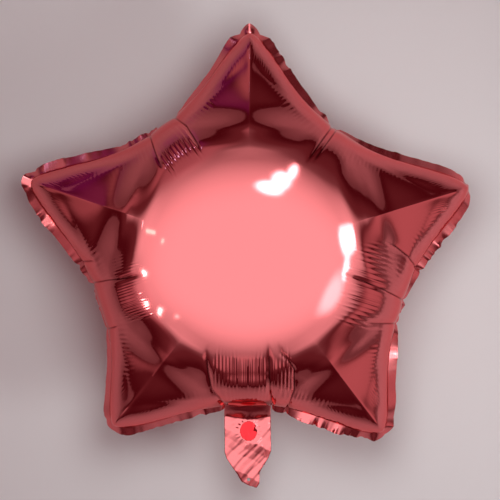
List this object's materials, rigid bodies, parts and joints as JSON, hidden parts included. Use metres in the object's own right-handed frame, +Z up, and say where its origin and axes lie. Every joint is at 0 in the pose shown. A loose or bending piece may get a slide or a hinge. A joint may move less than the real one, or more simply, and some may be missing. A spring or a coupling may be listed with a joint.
{
  "type": "star foil balloon",
  "caption": "Puffed five-pointed star of rose-red foil with gathered notches, a welded lip and a flat tail that holds a film valve.",
  "frame": {"origin": "centre of the flat spot that the balloon rests on, under the star's centre", "axes": "+Z up through the front panel, +Y towards the top arm, the tail points along -Y"},
  "size_m": [0.4117, 0.4232, 0.1904],
  "materials": {
    "foil": "metallised film, rose red, glossy",
    "valve_film": "thin red film"
  },
  "bodies": {
    "root": {"foil_envelope": "foil", "valve_film": "valve_film"}
  },
  "joints": []
}
